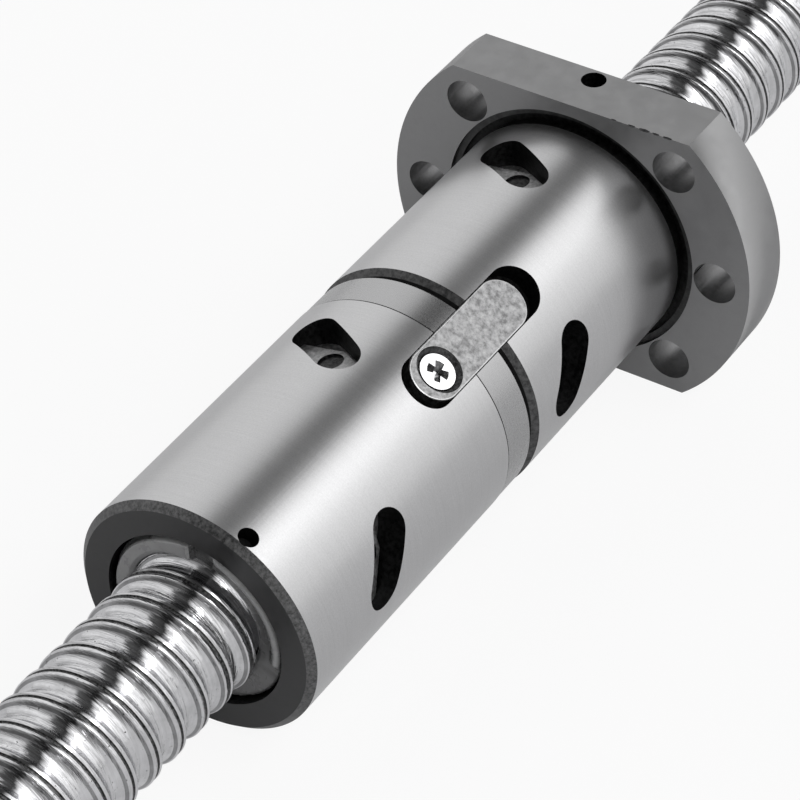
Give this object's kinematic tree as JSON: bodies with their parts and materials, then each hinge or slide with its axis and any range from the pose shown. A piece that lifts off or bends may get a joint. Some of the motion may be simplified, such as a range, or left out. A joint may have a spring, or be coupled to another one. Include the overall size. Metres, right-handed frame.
{
  "type": "ball screw with flanged double nut",
  "caption": "Ball screw shaft in a preloaded double nut: a flanged nut with flats, a spacer ring, a plain rear nut, a key and internal ball return deflectors.",
  "frame": {"origin": "centre of the flange's mounting face, the one that the nut body stands out of, on the screw's axis", "axes": "+X along the screw from the rear nut to the flange, +Z square to the flange's flats on the set-screw side"},
  "size_m": [0.22, 0.058, 0.044],
  "materials": {
    "ground_steel": "ground, satin",
    "screw_shaft_steel": "polished, with a thin oil film",
    "key_steel": "mottled, as milled",
    "deflector_steel": "blasted",
    "screw_steel": "bright zinc",
    "black_steel": "black oxide",
    "wiper_plastic": "pale translucent plastic",
    "ball_steel": "polished"
  },
  "bodies": {
    "nut": {"flange_nut": "ground_steel", "rear_nut": "ground_steel", "spacer_ring": "ground_steel", "parallel_key": "key_steel", "key_screw": "screw_steel", "rear_wiper": "wiper_plastic", "flange_wiper": "wiper_plastic", "wiper_set_screws": "black_steel", "rear_nut_deflector_1": "deflector_steel", "rear_nut_deflector_2": "deflector_steel", "rear_nut_deflector_3": "deflector_steel", "rear_nut_deflector_4": "deflector_steel", "flange_nut_deflector_1": "deflector_steel", "flange_nut_deflector_2": "deflector_steel", "flange_nut_deflector_3": "deflector_steel", "flange_nut_deflector_4": "deflector_steel"},
    "balls": {"rear_nut_balls_1": "ball_steel", "rear_nut_balls_2": "ball_steel", "rear_nut_balls_3": "ball_steel", "rear_nut_balls_4": "ball_steel", "flange_nut_balls_1": "ball_steel", "flange_nut_balls_2": "ball_steel", "flange_nut_balls_3": "ball_steel", "flange_nut_balls_4": "ball_steel"},
    "screw": {"screw_shaft": "screw_shaft_steel"}
  },
  "joints": [
    {"name": "screw_spin", "type": "hinge", "parent": "nut", "child": "balls", "pos_m": [0, 0, 0], "axis": [1, 0, 0], "range_deg": [-2160, 2160], "deforming": ["rear_nut_balls_1", "rear_nut_balls_2", "rear_nut_balls_3", "rear_nut_balls_4", "flange_nut_balls_1", "flange_nut_balls_2", "flange_nut_balls_3", "flange_nut_balls_4"]},
    {"name": "screw_travel", "type": "slide", "parent": "balls", "child": "screw", "axis": [1, 0, 0], "range_m": [-0.03, 0.03]}
  ],
  "couplings": [
    {"joint": "screw_spin", "follows": "screw_travel", "rad_per_m": 1256.6}
  ]
}
